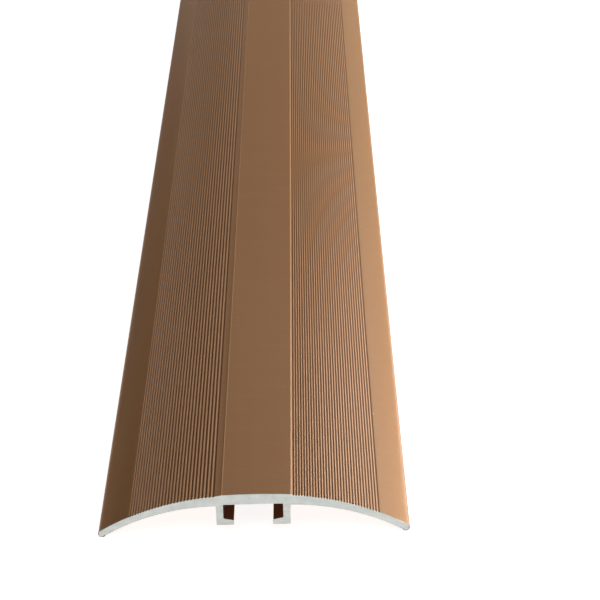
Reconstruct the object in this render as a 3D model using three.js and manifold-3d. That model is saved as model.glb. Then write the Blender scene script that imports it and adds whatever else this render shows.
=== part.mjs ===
// Arched threshold strip: a wide, low floor profile that covers the joint between two floors
// under a door. It is one extruded length with a T-channel along its underside. The heads of
// ring-shank drive pins slide in that channel, and each pin is driven into a split floor plug.
//
// Millimetres. +Y along the strip, +X across it, +Z up. The origin is at mid length and mid
// width, on the plane of the finished floor, where the two edge beads rest.

import * as THREE from "three";
import { mergeVertices } from "three/addons/utils/BufferGeometryUtils.js";
import Module from "manifold-3d";

// ---------------------------------------------------------------- driving dimensions

// Cover profile, overall
const LENGTH = 900;
const WIDTH = 80;
const HEIGHT = 11.85;

// Edge beads, which rest on the floors
const BEAD_RADIUS = 1;
const BEAD_SIDES = 12;
const BEAD_CORNERS = 8; // those of its 12 corners that stay outside the wing
const NECK_INSET = 2.4; // from the strip's edge in to where the wing's underside begins

// Smooth band along the crown
const BAND_LEFT = -8;
const BAND_RIGHT = 9.7;
const BAND_RADIUS = 200;
const BAND_STEPS = 6;

// Curved wings: arcs about centres that are offset from the strip's middle
const TOP_ARC = { x: 5, z: -54.85, radius: 66.4 };
const UNDER_ARC = { x: 9.1, z: -48.5, radius: 57.05 };
const WING_STEP = 2.5; // plain stretches of a wing are cut into steps of about this width

// Grip grooves in the wings
const GROOVE_DEPTH = 0.19;
const GROOVE_MOUTH = 0.9; // share of the pitch that a groove takes at its mouth
const GROOVE_FLOOR = 0.1; // share of the pitch at its floor
const RIGHT_GROOVES = { count: 31, first: 10.25, innerPitch: 0.705, outerPitch: 0.745 };
const LEFT_GROOVES = { count: 27, first: 10.16, innerPitch: 0.97, outerPitch: 0.675 };

// T-channel under the crown
const CHANNEL_CEILING = 8.95;
const CHANNEL_HALF = 7.75;
const LEG_WALL = 1.7;
const LEG_BOTTOM = 2.95;
const SLOT_HALF = 5.05;
const LIP_TIP_TOP = 4.15;
const LIP_ROOT_TOP = 4.75;
const LEG_FILLET = 0.5; // outside, where a leg joins its wing
const CHANNEL_FILLET = 0.3; // inside corners

// Fixings, spread evenly along the channel
const FIXINGS = 6;
const FIXING_PITCH = 150;

// Drive pin: a flat head in the channel, a collar in the slot and a ringed shank
const HEAD_RADIUS = 7.2;
const HEAD_SEAT = 5; // height of the head's underside at its rim
const HEAD_RIM_TOP = 6.6;
const HEAD_SHOULDER = { radius: 5, z: 7.2 };
const HEAD_TOP = 7.5;
const COLLAR_RADIUS = 4.4;
const COLLAR_TOP = 4.45;
const COLLAR_BOTTOM = 1.6;
const SHANK_RADIUS = 2.05;
const RING_RADIUS = 2.45;
const RINGS = 7;
const RING_PITCH = 3.6;
const RING_TAPER = 2.5; // height over which a ring widens to its sharp upper edge
const RING_LEDGE = 0.1;
const RINGS_TOP = -15;
const PIN_POINT_TOP = -40.8;
const PIN_TIP = -44;

// Floor plug, sunk in the subfloor below the floor coverings
const PLUG_TOP = -8.8;
const PLUG_BOTTOM = -46.8;
const PLUG_RIM = 1.2;
const PLUG_RIM_RADIUS = 5.2;
const PLUG_NECK_RADIUS = 3.8;
const PLUG_RADIUS = 4;
const PLUG_BORE_RADIUS = 2.9;
const PLUG_NOSE = 3;
const PLUG_NOSE_RADIUS = 3.3;
const PLUG_TEETH = 5;
const PLUG_TEETH_TOP = -18;
const PLUG_TOOTH_PITCH = 4.6;
const PLUG_TOOTH_TAPER = 3.7; // height over which a tooth widens to its sharp upper edge
const PLUG_TOOTH_DEPTH = 0.5;
const PLUG_SLIT = 1.2;
const PLUG_SLIT_TOP = -16;
const PLUG_SLIT_BOTTOM = -48; // past the plug's tip
const PLUG_SLIT_REACH = 16; // wider than the plug, so the slit splits both walls

const ROUND_SIDES = 14;

// ---------------------------------------------------------------- materials

const bronzeAnodised = { color: 0x9b6d49, roughness: 0.42, metalness: 0.85 };
const zincPlated = { color: 0xb9bcbf, roughness: 0.35, metalness: 1 };
const greyNylon = { color: 0x8d9091, roughness: 0.6, metalness: 0 };

// ---------------------------------------------------------------- solids by boolean

const wasm = await Module();
wasm.setup();

function toSolid(geometry) {
  const bare = geometry.clone();
  bare.deleteAttribute("normal");
  bare.deleteAttribute("uv");
  const merged = mergeVertices(bare, 1e-4);
  return new wasm.Manifold(
    new wasm.Mesh({
      numProp: 3,
      vertProperties: new Float32Array(merged.attributes.position.array),
      triVerts: new Uint32Array(merged.index.array),
    }),
  );
}

function toGeometry(solid) {
  const { vertProperties, triVerts } = solid.getMesh();
  const geometry = new THREE.BufferGeometry();
  geometry.setAttribute("position", new THREE.BufferAttribute(vertProperties, 3));
  geometry.setIndex(new THREE.BufferAttribute(triVerts, 1));
  geometry.computeVertexNormals();
  return geometry;
}

// ---------------------------------------------------------------- cover profile

const heightOnArc = (arc, x) =>
  arc.z + Math.sqrt(arc.radius ** 2 - (Math.abs(x) - arc.x) ** 2);

const bandHeight = (x) =>
  HEIGHT - BAND_RADIUS + Math.sqrt(BAND_RADIUS ** 2 - x ** 2);

const steps = (from, to, count) =>
  Array.from({ length: count + 1 }, (_, i) => from + ((to - from) * i) / count);

// Distances of the groove centres from the strip's middle, the pitch easing from inner to outer.
function grooveCentres({ count, first, innerPitch, outerPitch }) {
  const centres = [first];
  for (let i = 0; i < count - 1; i++) {
    const share = i / (count - 2);
    centres.push(centres[i] + innerPitch + (outerPitch - innerPitch) * share);
  }
  return centres;
}

// The top of one wing from the crown band out to the bead, for a side of +1 or -1.
function wingTop(side, grooves) {
  const centres = grooveCentres(grooves);
  const points = [];
  centres.forEach((centre, i) => {
    const pitch = i ? centre - centres[i - 1] : grooves.innerPitch;
    const mouth = (pitch * GROOVE_MOUTH) / 2;
    const floor = (pitch * GROOVE_FLOOR) / 2;
    for (const [offset, depth] of [
      [-mouth, 0],
      [-floor, GROOVE_DEPTH],
      [floor, GROOVE_DEPTH],
      [mouth, 0],
    ]) {
      const x = centre + offset;
      points.push(new THREE.Vector2(side * x, heightOnArc(TOP_ARC, x) - depth));
    }
  });
  const plainFrom = centres.at(-1) + grooves.outerPitch;
  const plainTo = WIDTH / 2 - BEAD_RADIUS;
  const count = Math.ceil((plainTo - plainFrom) / WING_STEP);
  for (const x of steps(plainFrom, plainTo, count))
    points.push(new THREE.Vector2(side * x, heightOnArc(TOP_ARC, x)));
  return points;
}

// The bead from where the wing's top meets it, round its outer side, to its neck inside. Its
// sides touch the true circle, and one of them lies flat on the floor.
function bead(side) {
  const centreX = WIDTH / 2 - BEAD_RADIUS;
  const turn = (2 * Math.PI) / BEAD_SIDES;
  const reach = BEAD_RADIUS / Math.cos(turn / 2);
  const firstAngle = Math.PI / 4;
  return Array.from({ length: BEAD_CORNERS }, (_, i) => {
    const angle = firstAngle - i * turn;
    return new THREE.Vector2(
      side * (centreX + reach * Math.cos(angle)),
      BEAD_RADIUS + reach * Math.sin(angle),
    );
  });
}

// The underside of one wing from the bead's neck in to the channel leg, then round the leg
// and its lip to the channel's ceiling.
function wingUnderside(side) {
  const outer = WIDTH / 2 - NECK_INSET;
  const legOuter = CHANNEL_HALF + LEG_WALL;
  const inner = legOuter + LEG_FILLET;
  const count = Math.ceil((outer - inner) / WING_STEP);
  const points = steps(outer, inner, count).map(
    (x) => new THREE.Vector2(side * x, heightOnArc(UNDER_ARC, x)),
  );
  const root = heightOnArc(UNDER_ARC, inner);
  const leg = [
    [legOuter, root - LEG_FILLET],
    [legOuter, LEG_BOTTOM],
    [SLOT_HALF, LEG_BOTTOM],
    [SLOT_HALF, LIP_TIP_TOP],
    [CHANNEL_HALF - CHANNEL_FILLET, LIP_ROOT_TOP],
    [CHANNEL_HALF, LIP_ROOT_TOP + CHANNEL_FILLET],
    [CHANNEL_HALF, CHANNEL_CEILING - CHANNEL_FILLET],
    [CHANNEL_HALF - CHANNEL_FILLET, CHANNEL_CEILING],
  ];
  return points.concat(leg.map(([x, z]) => new THREE.Vector2(side * x, z)));
}

function crownBand() {
  return steps(BAND_LEFT, BAND_RIGHT, BAND_STEPS).map(
    (x) => new THREE.Vector2(x, bandHeight(x)),
  );
}

function coverGeometry() {
  const rightSide = [
    ...wingTop(1, RIGHT_GROOVES),
    ...bead(1),
    ...wingUnderside(1),
  ];
  const leftSide = [
    ...wingTop(-1, LEFT_GROOVES),
    ...bead(-1),
    ...wingUnderside(-1),
  ];
  const outline = [...crownBand(), ...rightSide, ...leftSide.reverse()];
  const geometry = new THREE.ExtrudeGeometry(new THREE.Shape(outline), {
    depth: LENGTH,
    steps: 1,
    bevelEnabled: false,
  });
  geometry.rotateX(Math.PI / 2); // the outline's up becomes +Z, and it runs towards -Y
  geometry.translate(0, LENGTH / 2, 0);
  return geometry;
}

// ---------------------------------------------------------------- fixings

function lathe(profile) {
  const points = profile.map(([r, z]) => new THREE.Vector2(r, z));
  const geometry = new THREE.LatheGeometry(points, ROUND_SIDES);
  geometry.rotateX(Math.PI / 2); // the lathe's axis becomes Z
  return geometry;
}

function pinGeometry() {
  const profile = [
    [0, PIN_TIP],
    [SHANK_RADIUS, PIN_POINT_TOP],
  ];
  for (let i = RINGS - 1; i >= 0; i--) {
    const top = RINGS_TOP - i * RING_PITCH;
    profile.push([SHANK_RADIUS, top - RING_TAPER], [RING_RADIUS, top]);
  }
  profile.push(
    [SHANK_RADIUS, RINGS_TOP + RING_LEDGE],
    [SHANK_RADIUS, COLLAR_BOTTOM],
    [COLLAR_RADIUS, COLLAR_BOTTOM],
    [COLLAR_RADIUS, COLLAR_TOP],
    [HEAD_RADIUS, HEAD_SEAT],
    [HEAD_RADIUS, HEAD_RIM_TOP],
    [HEAD_SHOULDER.radius, HEAD_SHOULDER.z],
    [0, HEAD_TOP],
  );
  return toGeometry(toSolid(lathe(profile)));
}

function plugGeometry() {
  const profile = [
    [PLUG_BORE_RADIUS, PLUG_BOTTOM],
    [PLUG_NOSE_RADIUS, PLUG_BOTTOM],
    [PLUG_RADIUS, PLUG_BOTTOM + PLUG_NOSE],
  ];
  for (let i = PLUG_TEETH - 1; i >= 0; i--) {
    const top = PLUG_TEETH_TOP - i * PLUG_TOOTH_PITCH;
    profile.push(
      [PLUG_RADIUS - PLUG_TOOTH_DEPTH, top - PLUG_TOOTH_TAPER],
      [PLUG_RADIUS, top],
    );
  }
  profile.push(
    [PLUG_NECK_RADIUS, PLUG_SLIT_TOP],
    [PLUG_NECK_RADIUS, PLUG_TOP - PLUG_RIM],
    [PLUG_RIM_RADIUS, PLUG_TOP - PLUG_RIM],
    [PLUG_RIM_RADIUS, PLUG_TOP],
    [PLUG_BORE_RADIUS, PLUG_TOP],
    [PLUG_BORE_RADIUS, PLUG_BOTTOM],
  );
  const slit = new THREE.BoxGeometry(
    PLUG_SLIT,
    PLUG_SLIT_REACH,
    PLUG_SLIT_TOP - PLUG_SLIT_BOTTOM,
  );
  slit.translate(0, 0, (PLUG_SLIT_TOP + PLUG_SLIT_BOTTOM) / 2);
  return toGeometry(toSolid(lathe(profile)).subtract(toSolid(slit)));
}

// ---------------------------------------------------------------- assembly

function part(name, geometry, finish) {
  const mesh = new THREE.Mesh(geometry, new THREE.MeshStandardMaterial(finish));
  mesh.name = name;
  return mesh;
}

const strip = new THREE.Group();
strip.name = "threshold_strip";
strip.add(part("cover_profile", coverGeometry(), bronzeAnodised));

const pinShape = pinGeometry();
const plugShape = plugGeometry();
for (let i = 0; i < FIXINGS; i++) {
  const fixing = new THREE.Group();
  fixing.position.y = (i - (FIXINGS - 1) / 2) * FIXING_PITCH;
  fixing.add(part(`fixing_pin_${i + 1}`, pinShape.clone(), zincPlated));
  fixing.add(part(`floor_plug_${i + 1}`, plugShape.clone(), greyNylon));
  strip.add(fixing);
}

export default strip;
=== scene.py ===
import math

import bmesh
import bpy
from mathutils import Matrix, Vector, noise


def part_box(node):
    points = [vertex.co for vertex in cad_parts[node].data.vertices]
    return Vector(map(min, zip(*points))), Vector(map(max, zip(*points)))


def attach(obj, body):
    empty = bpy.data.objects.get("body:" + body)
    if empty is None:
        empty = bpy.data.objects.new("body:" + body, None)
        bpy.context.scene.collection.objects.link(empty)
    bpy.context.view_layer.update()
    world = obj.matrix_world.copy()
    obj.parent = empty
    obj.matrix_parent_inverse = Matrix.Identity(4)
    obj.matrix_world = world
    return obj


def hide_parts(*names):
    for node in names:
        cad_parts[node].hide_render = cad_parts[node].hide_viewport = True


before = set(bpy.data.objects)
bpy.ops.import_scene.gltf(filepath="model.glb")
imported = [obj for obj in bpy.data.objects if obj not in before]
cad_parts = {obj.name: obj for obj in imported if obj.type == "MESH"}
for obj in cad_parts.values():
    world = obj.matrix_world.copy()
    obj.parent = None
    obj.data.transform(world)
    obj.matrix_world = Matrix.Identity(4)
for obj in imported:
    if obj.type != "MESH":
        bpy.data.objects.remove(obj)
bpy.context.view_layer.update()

MM = 0.001  # the outlines below are in millimetres, the scene is in metres

# ------------------------------------------------------------------ sizes, in millimetres

COVER_LOW, COVER_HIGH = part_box("cover_profile")
HALF_WIDTH = (COVER_HIGH.x - COVER_LOW.x) / 2 / MM
HALF_LENGTH = (COVER_HIGH.y - COVER_LOW.y) / 2 / MM
HEIGHT = 11.85

# Arcs of the wings: centre x, centre z, radius
TOP_ARC = (5.0, -54.85, 66.4)
UNDER_ARC = (9.1, -48.5, 57.05)
WING_OVERLAP = 0.3  # how far the wing's top runs on over the bead
WING_STEPS = 10
UNDERSIDE_STEPS = 22

BEAD_RADIUS = 1.0
BEAD_NECK = 2.1 * BEAD_RADIUS  # from the outer edge in to where the underside starts
BEAD_POINTS = 27
BEAD_FROM, BEAD_STEP = 42, -7.8  # degrees above the horizontal, where the bead's skin starts

GROOVE_DEPTH = 0.19
# Across one pitch, from crest to crest: (share of the pitch, share of the depth)
GROOVE_SHAPE = [
    (0.00, 0.00), (0.05, 0.02), (0.10, 0.11), (0.20, 0.37), (0.30, 0.63), (0.40, 0.88),
    (0.45, 0.97), (0.50, 1.00), (0.55, 0.97), (0.60, 0.88), (0.70, 0.63), (0.80, 0.37),
    (0.90, 0.11), (0.95, 0.02),
]
# The first groove's centre, and the pitch at the band's side and at the wing's outer side
RIGHT_GROOVES = dict(count=31, first=10.25, inner=0.705, outer=0.745)
LEFT_GROOVES = dict(count=27, first=10.16, inner=0.97, outer=0.675)

BAND_LEFT, BAND_RIGHT = -8.0, 9.7
BAND_RADIUS = 200.0
BAND_STEPS = 30
BAND_EASE = 0.12
BAND_SKIRT, BAND_SKIRT_DROP = 0.22, 0.2  # the step down to the ribs at the right

RIDGE_FOOT, RIDGE_FOOT_DROP = 0.34, 0.07  # hair-fine ridge along the band's left edge
RIDGE_HALF, RIDGE_RISE = 0.06, 0.055
RIDGE_END = 0.17
RIDGE_EASE = (0.06, 0.04, 0.04)

CHANNEL_CEILING = 8.95
CHANNEL_HALF = 7.75
LEG_OUTER = 9.45
LEG_BOTTOM = 2.95
LEG_ROOT_GAP = 0.75  # the wing's arc stops this far out from the leg
SLOT_HALF = 5.05
LIP_TIP_TOP = 4.15
LIP_ROOT_TOP = 4.75

# Bevel of the sawn ends: the depth of the burr, where the bevel ends, and its unevenness
BURR = 0.1
BURR_END = 0.35
BURR_WAVE = 0.9  # waves per millimetre
BURR_MEAN, BURR_SWING = 0.75, 0.55
BEAD_BURR = 1.4  # how much deeper it bites on the bead's lower side, in step with its painted shade
MID_STATIONS = (-300, -150, 0, 150, 300)

# Painted shade darkens the skin's colour where little light gets in: in the grooves, under the
# wings, inside the channel and on the bead's lower side. 0 in the open, 1 inside the channel
NO_PAINTED_SHADE, UNDERSIDE_PAINTED_SHADE, CHANNEL_PAINTED_SHADE, BEAD_PAINTED_SHADE = 0.0, 0.6, 1.0, 1.35
BEAD_PAINTED_SHADE_FROM, BEAD_PAINTED_SHADE_SPAN = 0.6, 0.5  # heights of the normal
CHANNEL_PAINTED_SHADE_WIDTH = LEG_OUTER - 0.3

FIXINGS = 6

SHANK_RADIUS = 2.05
RING_RADIUS = 2.42
RING_PITCH = 3.6
RING_LEDGE = 0.12
RINGS = 7
RINGS_TOP = -15
PIN_TIP = -44.0
COLLAR_RADIUS, COLLAR_TOP = 4.4, 4.46
HEAD_RADIUS, HEAD_SEAT = 7.2, 4.98
PIN_SEGMENTS = 48

PLUG_TOP, PLUG_BOTTOM = -8.8, -46.8
PLUG_BORE = 2.9
PLUG_NOSE = 3.3
PLUG_NECK = 3.8
PLUG_RADIUS = 4.0
PLUG_RIM = 5.2
RIM_HEIGHT = 1.2
PLUG_TEETH = 5
TOOTH_PITCH = 4.6
TOOTH_TOP = -18
PLUG_SEGMENTS = 64
SLIT_HALF, SLIT_TOP = 0.6, -16
CROSS_SLIT_HALF, CROSS_SLIT_TOP, CROSS_SLIT_BOTTOM = 0.3, -20, -41.5
SLIT_REACH, SLIT_BELOW = 8, -50  # past the plug's wall, and past its tip
FINS, FIN_TURN = 4, 45  # the first one's turn, in degrees
FIN_INNER, FIN_OUTER, FIN_HALF = 3.4, 4.7, 0.35
FIN_TOP, FIN_BOTTOM = -10.4, -15.2
FIN_FOOT = 3.8  # a fin slopes in to this radius at its lower end

SMOOTH_ANGLE, PIN_SMOOTH_ANGLE = 35, 40  # edges steeper than this stay sharp, in degrees

# ------------------------------------------------------------------ stage, in metres and degrees

FLOOR_RADIUS = 14
FLOOR_SEGMENTS = 96

CAMERA_PLACE = (0.01582, -0.46114, 0.28510)  # from the middle of the near end
CAMERA_TURN, CAMERA_TILT, CAMERA_ROLL = 0.3152, 25.396, -1.4245
CAMERA_LENS, CAMERA_SENSOR = 126, 36  # millimetres
CAMERA_CLIP = (0.01, 60)

SKY_STRENGTH = 0.02
LAMP_DISTANCE = 3.0
LAMP_AIM = (0, -0.3, 0)
WHITE = (1, 1, 1)
DAYLIGHT = (0.89, 1.03, 1.14)  # slightly cool
# name, azimuth, elevation, (width, height), watts, colour
LAMPS = [
    ("right", 78, 36, (2.0, 1.2), 59, DAYLIGHT),
    ("right_low", 38, 5, (0.9, 0.8), 14, WHITE),
    ("right_back", 28, 22, (0.7, 0.6), 4.5, DAYLIGHT),
    ("overhead", 0, 88, (1.6, 1.2), 7, WHITE),
    ("front_left", -138, 50, (2.2, 1.4), 14, WHITE),
    ("front_right", 150, 50, (2.2, 1.4), 14, WHITE),
    ("behind_low", 0, 5, (1.6, 0.9), 3, WHITE),
    ("behind", -5, 33, (2.2, 0.7), 4.9, WHITE),
    ("behind_right", 16, 25, (0.6, 0.5), 0.8, WHITE),
]


# ------------------------------------------------------------------ outlines

def on_arc(arc, x):
    """Height of an arc at x, and its outward normal, on the side of positive x."""
    centre_x, centre_z, radius = arc
    across = (abs(x) - centre_x) / radius
    up = math.sqrt(1 - across * across)
    return centre_z + radius * up, (across, up)


def rounded(corners, arc_points=5):
    """A polyline from (x, z, radius) corners, each corner eased by an arc of its radius."""
    longest = 0.49  # share of a side that an arc may take up
    points = []
    for i, (x, z, radius) in enumerate(corners):
        here = Vector((x, z))
        if radius <= 0 or i in (0, len(corners) - 1):
            points.append(here)
            continue
        before = Vector(corners[i - 1][:2]) - here
        after = Vector(corners[i + 1][:2]) - here
        reach = radius / math.tan(before.angle(after) / 2)
        reach = min(reach, longest * before.length, longest * after.length)
        start, end = here + before.normalized() * reach, here + after.normalized() * reach
        for k in range(arc_points + 1):
            t = k / arc_points
            points.append(start * (1 - t) ** 2 + here * 2 * t * (1 - t) + end * t * t)
    return points


def spread(low, high, steps):
    """Evenly spaced values from low to high, both included."""
    return [low + (high - low) * k / steps for k in range(steps + 1)]


def groove_centres(count, first, inner, outer):
    """Centres of the grooves, their pitch going evenly from inner to outer."""
    centres = [first]
    for pitch in spread(inner, outer, count - 2):
        centres.append(centres[-1] + pitch)
    return centres


def wing_top(side, grooves):
    """From the crown band's edge out to the bead, as (x, z, normal x, normal z, painted shade).
    """
    centres = groove_centres(**grooves)
    crests = [centres[0] - grooves["inner"] / 2]
    crests += [(a + b) / 2 for a, b in zip(centres, centres[1:])]
    crests.append(centres[-1] + grooves["outer"] / 2)
    points = []
    for low, high in zip(crests, crests[1:]):
        for share, sunk in GROOVE_SHAPE:
            x = low + (high - low) * share
            z, (nx, nz) = on_arc(TOP_ARC, x)
            # painted shade in each groove, growing with the square of its depth
            points.append((side * x, z - sunk * GROOVE_DEPTH, side * nx, nz, sunk ** 2))
    for x in spread(crests[-1], HALF_WIDTH - BEAD_RADIUS + WING_OVERLAP, WING_STEPS):
        z, (nx, nz) = on_arc(TOP_ARC, x)
        points.append((side * x, z, side * nx, nz, NO_PAINTED_SHADE))
    return points


def bead(side):
    """The round bead, from the wing's top round the outside to the neck."""
    points = []
    for k in range(BEAD_POINTS):
        angle = math.radians(BEAD_FROM + BEAD_STEP * k)
        nx, nz = math.cos(angle), math.sin(angle)
        x = HALF_WIDTH - BEAD_RADIUS + BEAD_RADIUS * nx
        # painted shade on the bead's lower side, growing as its normal turns downwards
        share = min(max((BEAD_PAINTED_SHADE_FROM - nz) / BEAD_PAINTED_SHADE_SPAN, 0.0), 1.0)
        points.append((side * x, BEAD_RADIUS * (1 + nz), side * nx, nz, BEAD_PAINTED_SHADE * share))
    return points


def wing_underside(side):
    """From the neck in along the underside, down the leg, round the lip, up to the ceiling."""
    across = spread(HALF_WIDTH - BEAD_NECK, LEG_OUTER + LEG_ROOT_GAP, UNDERSIDE_STEPS)
    corners = [(x, on_arc(UNDER_ARC, x)[0], 0) for x in across]
    corners += [
        (LEG_OUTER, on_arc(UNDER_ARC, LEG_OUTER)[0], 0.7),
        (LEG_OUTER, LEG_BOTTOM, 0.16),
        (SLOT_HALF, LEG_BOTTOM, 0.14),
        (SLOT_HALF, LIP_TIP_TOP, 0.14),
        (CHANNEL_HALF, LIP_ROOT_TOP, 0.55),
        (CHANNEL_HALF, CHANNEL_CEILING, 0.35),
        (SLOT_HALF, CHANNEL_CEILING, 0),
    ]
    points = [Vector((side * p.x, p.y)) for p in rounded(corners)]
    return with_normals(points, side)


def with_normals(points, side):
    """Adds the outward normal and the painted shade to each point of a polyline that runs
    inwards.
    """
    made = []
    for i, p in enumerate(points):
        along = points[min(i + 1, len(points) - 1)] - points[max(i - 1, 0)]
        along.normalize()
        # painted shade: darkest inside the channel, lighter on the rest of the underside
        inside = abs(p.x) < CHANNEL_PAINTED_SHADE_WIDTH
        painted_shade = CHANNEL_PAINTED_SHADE if inside else UNDERSIDE_PAINTED_SHADE
        made.append((p.x, p.y, side * along.y, -side * along.x, painted_shade))
    return made


def crown_band():
    """The smooth band between the ribs, with the fine ridge along its left edge."""
    def height(x):
        return HEIGHT - BAND_RADIUS + math.sqrt(BAND_RADIUS ** 2 - x * x)

    ridge_top = height(BAND_LEFT) + RIDGE_RISE
    ridge_end = BAND_LEFT + RIDGE_END
    corners = [
        (BAND_LEFT - RIDGE_FOOT, height(BAND_LEFT) - RIDGE_FOOT_DROP, 0),
        (BAND_LEFT - RIDGE_HALF, ridge_top, RIDGE_EASE[0]),
        (BAND_LEFT + RIDGE_HALF, ridge_top, RIDGE_EASE[1]),
        (ridge_end, height(ridge_end), RIDGE_EASE[2]),
    ]
    corners += [(x, height(x), 0) for x in spread(ridge_end, BAND_RIGHT, BAND_STEPS)[1:-1]]
    corners.append((BAND_RIGHT, height(BAND_RIGHT), BAND_EASE))
    corners.append((BAND_RIGHT + BAND_SKIRT, height(BAND_RIGHT) - BAND_SKIRT_DROP, 0))
    return [(p.x, p.y, 0.0, 1.0, NO_PAINTED_SHADE) for p in rounded(corners)]


def cover_outline():
    """The whole cross-section, clockwise from the crown band's left edge."""
    right = wing_top(1, RIGHT_GROOVES) + bead(1) + wing_underside(1)
    left = wing_top(-1, LEFT_GROOVES) + bead(-1) + wing_underside(-1)
    return crown_band() + right + left[::-1]


# ------------------------------------------------------------------ meshes

def new_piece(name, bm, smooth_angle=SMOOTH_ANGLE):
    """Makes an object of a mesh, its faces out and its edges sharp above the angle."""
    mesh = bpy.data.meshes.new(name)
    bmesh.ops.recalc_face_normals(bm, faces=bm.faces)
    bm.to_mesh(mesh)
    bm.free()
    mesh.shade_smooth()
    mesh.set_sharp_from_angle(angle=math.radians(smooth_angle))
    piece = bpy.data.objects.new(name, mesh)
    bpy.context.scene.collection.objects.link(piece)
    return piece


def cover_mesh():
    """The extrusion: the outline drawn along Y, its two sawn ends with a small uneven burr."""
    skin, bare = 0, 1  # material indices
    outline = cover_outline()
    near_bead = [abs(point[0]) > HALF_WIDTH - 2 * BEAD_RADIUS for point in outline]
    # along Y: (place, depth of the bevel)
    bevel = [(HALF_LENGTH, BURR), (HALF_LENGTH - BURR, 0.0), (HALF_LENGTH - BURR_END, 0.0)]
    stations = [(-y, inset) for y, inset in bevel]
    stations += [(y, 0.0) for y in MID_STATIONS]
    stations += bevel[::-1]
    bm = bmesh.new()
    # per-vertex painted shade, read by the bronze material to darken its colour
    painted_shade_layer = bm.verts.layers.float.new("painted_shade")
    rings = []
    for y, inset in stations:
        ring = []
        for (x, z, nx, nz, painted_shade), on_bead in zip(outline, near_bead):
            bite = noise.noise(Vector((x * BURR_WAVE, y, z * BURR_WAVE)))
            cut = inset * (BURR_MEAN + BURR_SWING * bite)
            if on_bead:
                cut *= 1 + BEAD_BURR * painted_shade
            vert = bm.verts.new(((x - nx * cut) * MM, y * MM, (z - nz * cut) * MM))
            vert[painted_shade_layer] = painted_shade
            ring.append(vert)
        rings.append(ring)
    for i, (a, b) in enumerate(zip(rings, rings[1:])):
        at_end = i in (0, len(rings) - 2)
        for k, point in enumerate(outline):
            n = (k + 1) % len(outline)
            face = bm.faces.new((a[k], a[n], b[n], b[k]))
            # on the bead's painted-shade side the sawn end's bevel keeps the skin, so the
            # painted shade gives the end a dark outline
            bead_in_painted_shade = near_bead[k] and point[4] > 0
            face.material_index = bare if at_end and not bead_in_painted_shade else skin
    for ring in (rings[0], rings[-1]):
        bm.faces.new(ring).material_index = bare
    return new_piece("cover_strip", bm)


def lathe(bm, profile, segments):
    """Turns (radius, z) points round Z. A radius of zero at either end closes on the axis."""
    rings = []
    for radius, z in profile:
        if radius == 0:
            rings.append([bm.verts.new((0, 0, z * MM))])
            continue
        ring = []
        for k in range(segments):
            turn = 2 * math.pi * k / segments
            x, y = radius * math.cos(turn), radius * math.sin(turn)
            ring.append(bm.verts.new((x * MM, y * MM, z * MM)))
        rings.append(ring)
    for a, b in zip(rings, rings[1:]):
        for k in range(segments):
            n = (k + 1) % segments
            if len(a) == 1:
                bm.faces.new((a[0], b[k], b[n]))
            elif len(b) == 1:
                bm.faces.new((a[k], b[0], a[n]))
            else:
                bm.faces.new((a[k], b[k], b[n], a[n]))
    return rings


def pin_profile():
    """Tip to crown: point, ringed shank, plain shank, collar, flat head with a dimple."""
    corners = [(0, PIN_TIP, 0), (0.35, PIN_TIP + 0.1, 0.2), (SHANK_RADIUS, PIN_TIP + 3.4, 0.4)]
    for i in reversed(range(RINGS)):
        top = RINGS_TOP - i * RING_PITCH
        corners += [
            (SHANK_RADIUS, top - 0.75 * RING_PITCH, 0.3),
            (RING_RADIUS, top - RING_LEDGE, 0.06),
            (RING_RADIUS, top, 0.04),
            (SHANK_RADIUS, top + RING_LEDGE, 0.05),
        ]
    corners += [
        (SHANK_RADIUS, 1.3, 0.25),
        (COLLAR_RADIUS - 0.3, 1.62, 0.2),
        (COLLAR_RADIUS, 1.95, 0.2),
        (COLLAR_RADIUS, COLLAR_TOP, 0.15),
        (HEAD_RADIUS - 0.2, HEAD_SEAT, 0.1),
        (HEAD_RADIUS, HEAD_SEAT + 0.22, 0.15),
        (HEAD_RADIUS, 6.35, 0.25),
        (HEAD_RADIUS - 0.5, 6.85, 0.5),
        (4.6, 7.28, 1.0),
        (2.3, 7.46, 0.5),
        (1.7, 7.2, 0.25),
        (0, 7.12, 0),
    ]
    return [(p.x, p.y) for p in rounded(corners, 4)]


def pin_mesh(name):
    bm = bmesh.new()
    lathe(bm, pin_profile(), PIN_SEGMENTS)
    return new_piece(name, bm, PIN_SMOOTH_ANGLE)


def plug_profile():
    """The plug's wall, up its outside and down to its bore's upper edge."""
    corners = [
        (PLUG_BORE, PLUG_BOTTOM, 0),
        (PLUG_NOSE, PLUG_BOTTOM, 0.1),
        (PLUG_RADIUS - 0.1, PLUG_BOTTOM + 3.0, 0.6),
    ]
    for i in reversed(range(PLUG_TEETH)):
        crest = TOOTH_TOP - i * TOOTH_PITCH
        corners += [
            (PLUG_RADIUS - 0.5, crest - 0.8 * TOOTH_PITCH, 0.2),
            (PLUG_RADIUS, crest - 0.1, 0.08),
            (PLUG_RADIUS, crest, 0.08),
            (PLUG_RADIUS - 0.38, crest + 0.25, 0.1),
        ]
    rim_bottom = PLUG_TOP - RIM_HEIGHT
    corners += [
        (PLUG_NECK, -16.2, 0.3),
        (PLUG_NECK, rim_bottom, 0.25),
        (PLUG_RIM - 0.1, rim_bottom, 0.1),
        (PLUG_RIM, rim_bottom + 0.2, 0.1),
        (PLUG_RIM, PLUG_TOP - 0.25, 0.2),
        (PLUG_RIM - 0.3, PLUG_TOP, 0.2),
        (PLUG_BORE + 0.4, PLUG_TOP, 0.2),
        (PLUG_BORE, PLUG_TOP - 0.5, 0.2),
        (PLUG_BORE, PLUG_BOTTOM, 0),
    ]
    return [(p.x, p.y) for p in rounded(corners, 3)[:-1]]


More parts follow.
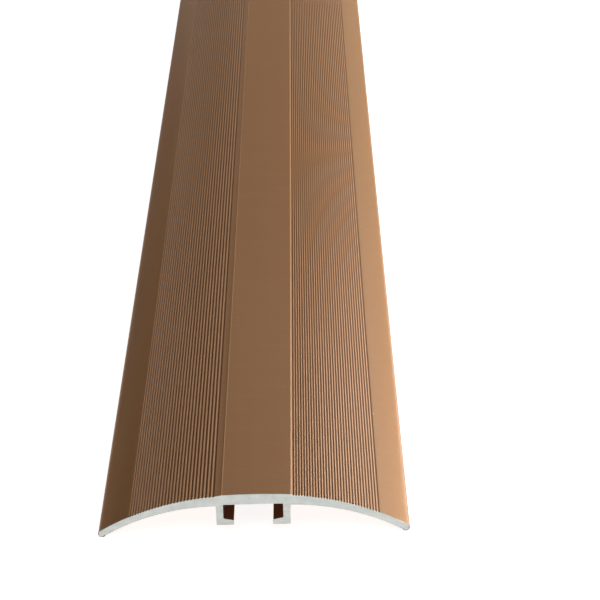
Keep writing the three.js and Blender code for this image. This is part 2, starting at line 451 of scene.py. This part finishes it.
def box_piece(low, high):
    """A box between two corners in millimetres."""
    bm = bmesh.new()
    bmesh.ops.create_cube(bm, size=1)
    low, high = Vector(low) * MM, Vector(high) * MM
    for v in bm.verts:
        v.co = Vector(low[i] + (v.co[i] + 0.5) * (high[i] - low[i]) for i in range(3))
    return new_piece("cutter", bm)


def boolean(piece, cutters):
    """Applies (operation, cutter) pairs to a piece and removes the cutters."""
    for operation, cutter in cutters:
        step = piece.modifiers.new(operation, "BOOLEAN")
        step.operation = operation
        step.solver = "EXACT"
        step.object = cutter
    bpy.context.view_layer.update()
    evaluated = piece.evaluated_get(bpy.context.evaluated_depsgraph_get())
    mesh = bpy.data.meshes.new_from_object(evaluated)
    piece.modifiers.clear()
    piece.data = mesh
    for _, cutter in cutters:
        bpy.data.objects.remove(cutter)


def plug_fin(turn):
    """A small fin under the rim, its lower end sloping in to the wall."""
    fin = box_piece((FIN_INNER, -FIN_HALF, FIN_BOTTOM), (FIN_OUTER, FIN_HALF, FIN_TOP))
    middle = Vector(((FIN_INNER + FIN_OUTER) / 2, 0, (FIN_TOP + FIN_BOTTOM) / 2)) * MM
    for v in fin.data.vertices:
        if v.co.z < middle.z and v.co.x > middle.x:
            v.co.x = FIN_FOOT * MM
    fin.data.transform(Matrix.Rotation(turn, 4, "Z"))
    return fin


def plug_mesh(name):
    """Split nylon plug: a wall with teeth, two crossed slits and four small fins."""
    bm = bmesh.new()
    rings = lathe(bm, plug_profile(), PLUG_SEGMENTS)
    for k in range(PLUG_SEGMENTS):
        n = (k + 1) % PLUG_SEGMENTS
        bm.faces.new((rings[-1][k], rings[0][k], rings[0][n], rings[-1][n]))
    piece = new_piece(name, bm)
    slit = box_piece((-SLIT_HALF, -SLIT_REACH, SLIT_BELOW), (SLIT_HALF, SLIT_REACH, SLIT_TOP))
    cross_slit = box_piece((-SLIT_REACH, -CROSS_SLIT_HALF, CROSS_SLIT_BOTTOM),
                           (SLIT_REACH, CROSS_SLIT_HALF, CROSS_SLIT_TOP))
    cutters = [("DIFFERENCE", slit), ("DIFFERENCE", cross_slit)]
    for k in range(FINS):
        cutters.append(("UNION", plug_fin(math.radians(FIN_TURN + 360 / FINS * k))))
    boolean(piece, cutters)
    piece.data.shade_smooth()
    piece.data.set_sharp_from_angle(angle=math.radians(SMOOTH_ANGLE))
    return piece


# ------------------------------------------------------------------ material helpers

class Nodes:
    """A material's node tree, with short calls for the nodes that the materials use."""

    def __init__(self, name):
        self.material = bpy.data.materials.new(name)
        self.material.use_nodes = True
        self.tree = self.material.node_tree
        self.shader = self.tree.nodes["Principled BSDF"]
        self.where = self.tree.nodes.new("ShaderNodeTexCoord").outputs["Object"]

    def set(self, **values):
        """Sets the shader's inputs. A colour is given as (red, green, blue)."""
        for key, value in values.items():
            socket = self.shader.inputs[key.replace("_", " ")]
            socket.default_value = (*value, 1) if socket.type == "RGBA" else value

    def link(self, source, target):
        if isinstance(target, str):
            target = self.shader.inputs[target]
        self.tree.links.new(source, target)

    def stretched(self, scale):
        node = self.tree.nodes.new("ShaderNodeMapping")
        node.inputs["Scale"].default_value = scale
        self.link(self.where, node.inputs["Vector"])
        return node.outputs["Vector"]

    def attribute(self, name):
        node = self.tree.nodes.new("ShaderNodeAttribute")
        node.attribute_name = name
        return node.outputs["Fac"]

    def noise(self, scale, stretch=(1, 1, 1), detail=3, roughness=0.5):
        node = self.tree.nodes.new("ShaderNodeTexNoise")
        node.inputs["Scale"].default_value = scale
        node.inputs["Detail"].default_value = detail
        node.inputs["Roughness"].default_value = roughness
        self.link(self.stretched(stretch), node.inputs["Vector"])
        return node.outputs["Fac"]

    def speckle(self, scale, size, stretch=(1, 1, 1)):
        """1 in sparse round spots, 0 elsewhere."""
        core = 0.6  # share of a spot that is full strength
        node = self.tree.nodes.new("ShaderNodeTexVoronoi")
        node.inputs["Scale"].default_value = scale
        self.link(self.stretched(stretch), node.inputs["Vector"])
        return self.ramp(node.outputs["Distance"], (size * core, 1.0), (size, 0.0))

    def ramp(self, source, *stops):
        """Maps a value through (position, grey or colour) stops."""
        node = self.tree.nodes.new("ShaderNodeValToRGB")
        elements = node.color_ramp.elements
        while len(elements) < len(stops):
            elements.new(0.5)
        for element, (at, value) in zip(elements, stops):
            element.position = at
            colour = value if isinstance(value, tuple) else (value, value, value)
            element.color = (*colour, 1)
        self.link(source, node.inputs["Fac"])
        return node.outputs["Color"]

    def scaled(self, value, factor):
        node = self.tree.nodes.new("ShaderNodeMath")
        node.operation = "MULTIPLY"
        self.link(value, node.inputs[0])
        node.inputs[1].default_value = factor
        return node.outputs[0]

    def mix(self, share, under, colour):
        """Lays a plain colour over another one, where share is 1."""
        node = self.tree.nodes.new("ShaderNodeMix")
        node.data_type = "RGBA"
        sockets = {s.name: s for s in node.inputs if s.enabled}
        self.link(share, sockets["Factor"])
        self.link(under, sockets["A"])
        sockets["B"].default_value = (*colour, 1)
        return next(s for s in node.outputs if s.enabled)

    def bump(self, height, strength, distance, under=None):
        node = self.tree.nodes.new("ShaderNodeBump")
        node.inputs["Strength"].default_value = strength
        node.inputs["Distance"].default_value = distance
        self.link(height, node.inputs["Height"])
        if under is not None:
            self.link(under, node.inputs["Normal"])
        return node.outputs["Normal"]


# ------------------------------------------------------------------ materials

MICRON = 0.000001  # metres, for the depth of a bump


def bronze_anodised():
    """Dyed oxide over drawn aluminium: a warm metal under a thin clear skin."""
    n = Nodes("bronze_anodised")
    n.set(Metallic=1.0, Coat_Weight=0.5, Coat_Roughness=0.3, Coat_IOR=1.5,
          Specular_Tint=(1.0, 0.8, 0.64))
    streaks = n.noise(900, (1, 0.012, 1), detail=4)
    tone = n.ramp(streaks, (0.3, (0.455, 0.214, 0.076)), (0.7, (0.500, 0.236, 0.087)))
    clouds = n.noise(28, (1, 0.35, 1))
    tone = n.mix(n.ramp(clouds, (0.35, 0.0), (0.7, 0.35)), tone, (0.48, 0.238, 0.094))
    cross_marks = n.noise(620, (0.06, 1, 1), roughness=0.6)
    tone = n.mix(n.ramp(cross_marks, (0.5, 0.0), (0.72, 0.3)), tone, (0.54, 0.28, 0.12))
    specks = n.speckle(90, 0.024, (1, 0.8, 1))
    tone = n.mix(n.scaled(specks, 0.8), tone, (0.80, 0.62, 0.45))
    # painted shade: mixes the tone towards dark brown by the painted_shade attribute, in the
    # grooves, under the wings, inside the channel and on the bead's lower side
    tone = n.mix(n.scaled(n.attribute("painted_shade"), 0.72), tone, (0.12, 0.045, 0.014))
    n.link(tone, "Base Color")
    n.link(n.ramp(streaks, (0.25, 0.50), (0.75, 0.58)), "Roughness")
    die_lines = n.noise(2600, (1, 0.004, 1), detail=2)
    grain = n.noise(5200, (0.25, 1, 1), detail=2)
    normal = n.bump(die_lines, 0.12, 10 * MICRON)
    n.link(n.bump(grain, 0.04, 10 * MICRON, normal), "Normal")
    return n.material


def sawn_aluminium():
    """The bare end face: fine saw lines, a dull bite and a few dark pits."""
    n = Nodes("sawn_aluminium")
    n.set(Metallic=1.0)
    lines = n.noise(1500, (0.06, 1, 1))
    blotches = n.noise(420, detail=4, roughness=0.6)
    tone = n.ramp(blotches, (0.3, (0.55, 0.56, 0.525)), (0.7, (0.65, 0.66, 0.62)))
    pits = n.speckle(900, 0.14)
    tone = n.mix(n.scaled(pits, 0.45), tone, (0.42, 0.41, 0.38))
    n.link(tone, "Base Color")
    n.link(n.ramp(lines, (0.2, 0.50), (0.8, 0.64)), "Roughness")
    normal = n.bump(lines, 0.5, 40 * MICRON)
    n.link(n.bump(blotches, 0.35, 30 * MICRON, normal), "Normal")
    return n.material


def zinc_plated_steel():
    """Bright zinc over rolled wire: faint blue and yellow bloom, fine draw lines."""
    n = Nodes("zinc_plated_steel")
    n.set(Metallic=1.0)
    blue, plain, yellow = (0.62, 0.65, 0.70), (0.70, 0.71, 0.72), (0.74, 0.72, 0.64)
    bloom = n.noise(160, (1, 1, 0.4), detail=4, roughness=0.6)
    n.link(n.ramp(bloom, (0.3, blue), (0.52, plain), (0.75, yellow)), "Base Color")
    rubs = n.noise(1400, (1, 1, 0.05))
    n.link(n.ramp(rubs, (0.3, 0.26), (0.75, 0.42)), "Roughness")
    n.link(n.bump(rubs, 0.3, 40 * MICRON), "Normal")
    return n.material


def grey_nylon():
    """Moulded grey nylon with a slight sheen and a fine spark-eroded texture."""
    n = Nodes("grey_nylon")
    n.set(Metallic=0.0, IOR=1.53, Subsurface_Weight=0.04, Subsurface_Radius=(0.0012,) * 3)
    cloud = n.noise(220)
    tone = n.ramp(cloud, (0.3, (0.255, 0.262, 0.268)), (0.7, (0.315, 0.322, 0.328)))
    n.link(tone, "Base Color")
    texture = n.noise(3800, detail=2)
    n.link(n.ramp(texture, (0.3, 0.42), (0.7, 0.56)), "Roughness")
    n.link(n.bump(texture, 0.3, 30 * MICRON), "Normal")
    return n.material


def pale_floor():
    """A white table lit from below, as a light table is, so shadows on it stay pale."""
    n = Nodes("pale_floor")
    n.set(Roughness=0.9, Emission_Strength=0.88, Emission_Color=WHITE, Specular_IOR_Level=0.2)
    n.link(n.ramp(n.noise(3, detail=2), (0.3, 0.60), (0.7, 0.62)), "Base Color")
    return n.material


# ------------------------------------------------------------------ the object

def place(piece, node, body):
    """Moves a fixing to its node's place along Y, and makes it stand for that node."""
    low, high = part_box(node)
    piece.data.transform(Matrix.Translation(Vector((0, (low.y + high.y) / 2, 0))))
    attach(piece, body)
    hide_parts(node)


def row_of(first, stem):
    """The first fixing and its copies, each with its own mesh."""
    row = [first]
    for i in range(2, FIXINGS + 1):
        copy = bpy.data.objects.new(f"{stem}_{i}", first.data.copy())
        bpy.context.scene.collection.objects.link(copy)
        row.append(copy)
    return row


def build_object():
    cover = cover_mesh()
    cover.data.materials.append(bronze_anodised())
    cover.data.materials.append(sawn_aluminium())
    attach(cover, "cover")
    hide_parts("cover_profile")

    steel, nylon = zinc_plated_steel(), grey_nylon()
    first_pin, first_plug = pin_mesh("drive_pin_1"), plug_mesh("split_plug_1")
    first_pin.data.materials.append(steel)
    first_plug.data.materials.clear()
    first_plug.data.materials.append(nylon)
    pins, plugs = row_of(first_pin, "drive_pin"), row_of(first_plug, "split_plug")
    for i, (pin, plug) in enumerate(zip(pins, plugs), 1):
        place(pin, f"fixing_pin_{i}", f"pin_{i}")
        place(plug, f"floor_plug_{i}", f"plug_{i}")


# ------------------------------------------------------------------ stage, camera and light

def build_floor():
    bm = bmesh.new()
    bmesh.ops.create_circle(bm, cap_ends=True, radius=FLOOR_RADIUS, segments=FLOOR_SEGMENTS)
    floor = new_piece("floor", bm)
    floor.data.materials.append(pale_floor())


def build_camera():
    data = bpy.data.cameras.new("camera")
    camera = bpy.data.objects.new("camera", data)
    bpy.context.scene.collection.objects.link(camera)
    data.sensor_width, data.lens = CAMERA_SENSOR, CAMERA_LENS
    data.clip_start, data.clip_end = CAMERA_CLIP
    camera.location = Vector((0, COVER_LOW.y, 0)) + Vector(CAMERA_PLACE)
    turn = Matrix.Rotation(math.radians(CAMERA_TURN), 3, "Z")
    tilt = Matrix.Rotation(math.radians(90 - CAMERA_TILT), 3, "X")
    roll = Matrix.Rotation(math.radians(CAMERA_ROLL), 3, "Z")
    camera.rotation_euler = (turn @ tilt @ roll).to_euler()
    bpy.context.scene.camera = camera


def softbox(name, azimuth, elevation, size, watts, colour):
    """A soft lamp. Azimuth turns from straight behind the strip towards its right."""
    data = bpy.data.lights.new(name, "AREA")
    data.shape = "RECTANGLE"
    data.size, data.size_y = size
    data.energy = watts
    data.color = colour
    lamp = bpy.data.objects.new(name, data)
    turn, lift = math.radians(azimuth), math.radians(elevation)
    level = math.cos(lift)
    away = Vector((math.sin(turn) * level, math.cos(turn) * level, math.sin(lift)))
    lamp.location = Vector(LAMP_AIM) + LAMP_DISTANCE * away
    lamp.rotation_euler = (-away).to_track_quat("-Z", "Y").to_euler()
    lamp.visible_camera = False
    bpy.context.scene.collection.objects.link(lamp)


def build_light():
    world = bpy.data.worlds.new("studio")
    bpy.context.scene.world = world
    world.use_nodes = True
    sky = world.node_tree.nodes["Background"]
    sky.inputs["Color"].default_value = (*WHITE, 1)
    sky.inputs["Strength"].default_value = SKY_STRENGTH
    for lamp in LAMPS:
        softbox(*lamp)


bpy.context.scene.view_settings.view_transform = "Standard"
build_object()
build_floor()
build_camera()
build_light()
